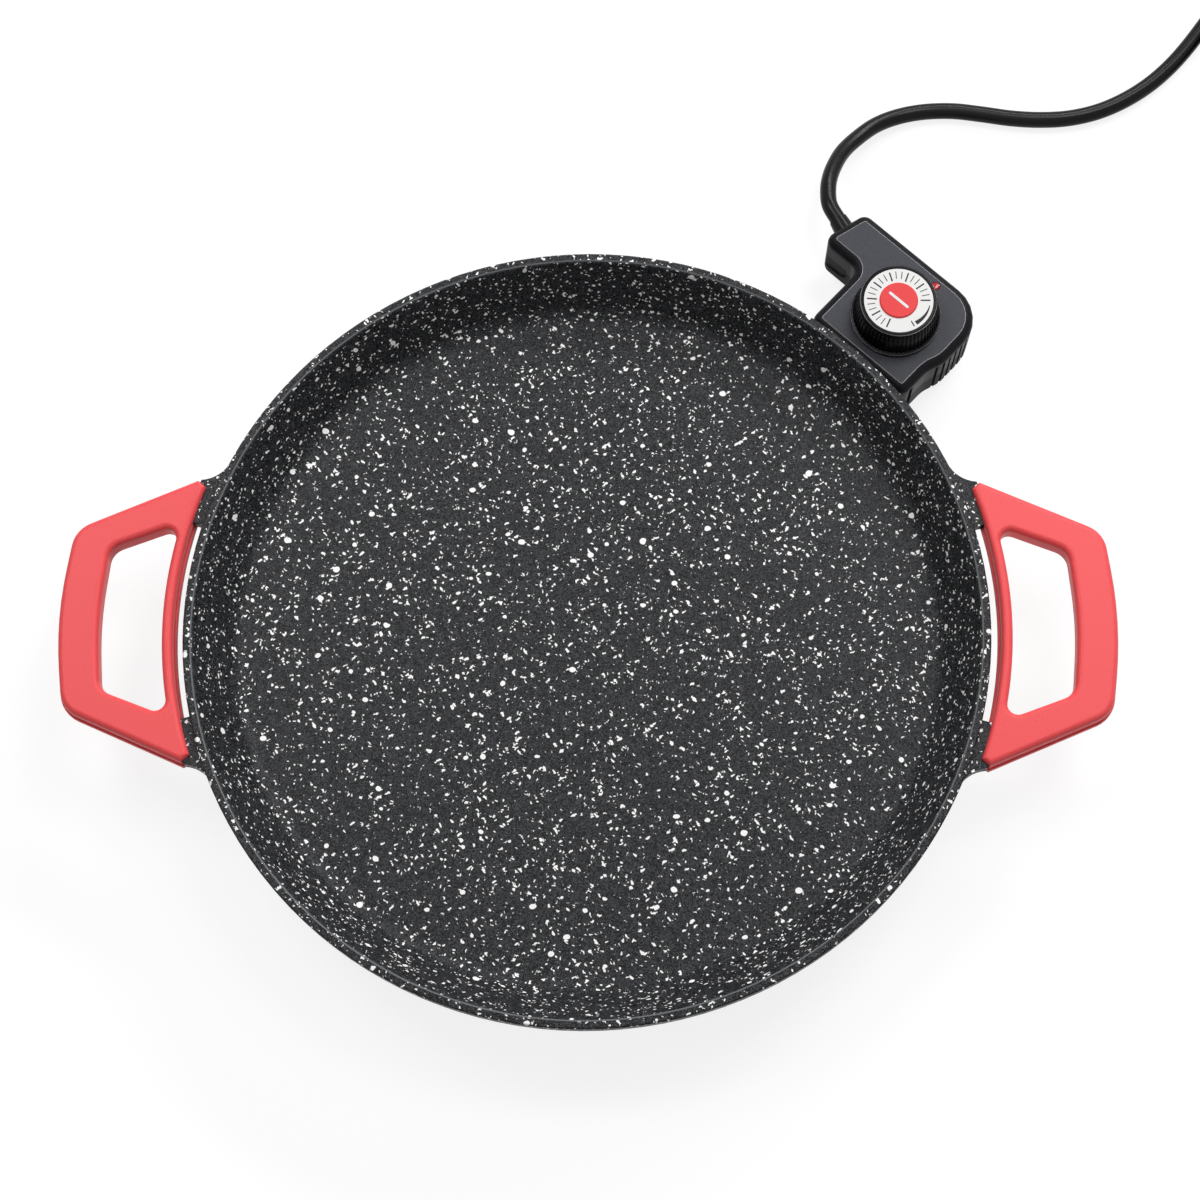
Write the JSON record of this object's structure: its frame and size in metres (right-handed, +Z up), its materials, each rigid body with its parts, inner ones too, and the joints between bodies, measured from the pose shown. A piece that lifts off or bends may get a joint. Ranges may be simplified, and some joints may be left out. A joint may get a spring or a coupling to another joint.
{
  "type": "electric table grill",
  "caption": "Round electric table grill: a shallow cast pan with ring side handles, moulded feet and a plug-in thermostat with a dial on a mains lead.",
  "frame": {"origin": "on the table under the pan's centre", "axes": "+Z up along the pan's axis, +X through the right handle, +Y towards the far side, where the controller plugs in"},
  "size_m": [0.7421, 0.6165, 0.0623],
  "materials": {
    "coated_cast_aluminium": "granite-look non-stick coating",
    "sheathed_steel": "heat-darkened",
    "plated_steel": "zinc plated",
    "ceramic": "unglazed ceramic",
    "red_moulding": "matte",
    "bakelite": "matte",
    "cover_moulding": "satin",
    "base_moulding": "satin",
    "contact_brass": "plain",
    "dial_moulding": "gloss",
    "printed_disc": "printed",
    "red_cap": "satin",
    "red_lens": "translucent",
    "lamp_glass": "clear",
    "cord_rubber": "semi-gloss",
    "wire_insulation": "plain",
    "nickel": "nickel plated"
  },
  "bodies": {
    "griddle": {"griddle_plate": "coated_cast_aluminium", "heating_element": "sheathed_steel", "terminal_pins": "nickel", "terminal_insulators": "ceramic", "socket_guard": "plated_steel", "guard_screws": "plated_steel", "handle_left": "red_moulding", "handle_right": "red_moulding", "handle_screws": "plated_steel", "foot_right": "bakelite", "foot_back": "bakelite", "foot_left": "bakelite", "foot_front": "bakelite", "foot_screws": "plated_steel"},
    "controller": {"controller_cover": "cover_moulding", "controller_base": "base_moulding", "controller_screws": "plated_steel", "contact_block": "bakelite", "receptacles": "contact_brass", "probe": "plated_steel", "earth_leaf": "contact_brass", "contact_stack": "ceramic", "fixed_contact_arm": "contact_brass", "moving_contact_arm": "contact_brass", "spindle_bush": "contact_brass", "indicator_lens": "red_lens", "neon_lamp": "lamp_glass", "cord_relief": "cord_rubber", "cord_tail": "cord_rubber", "cord_clamp": "base_moulding", "clamp_screws": "plated_steel", "lead_wires": "wire_insulation", "power_cord": "cord_rubber", "cord_coil": "cord_rubber", "cord_tie": "cord_rubber", "plug_body": "cord_rubber", "plug_pins": "nickel", "plug_earth_clips": "nickel"},
    "dial": {"dial_knob": "dial_moulding", "dial_scale": "printed_disc", "dial_cap": "red_cap", "dial_mark": "printed_disc", "dial_spindle": "plated_steel"}
  },
  "joints": [
    {"name": "controller_pull", "type": "slide", "parent": "griddle", "child": "controller", "axis": [0.6756, 0.7373, 0], "range_m": [0, 0.075]},
    {"name": "dial_turn", "type": "hinge", "parent": "controller", "child": "dial", "pos_m": [0.1591, 0.17363, 0.042], "axis": [0, 0, 1], "range_deg": [-212, 95]}
  ]
}
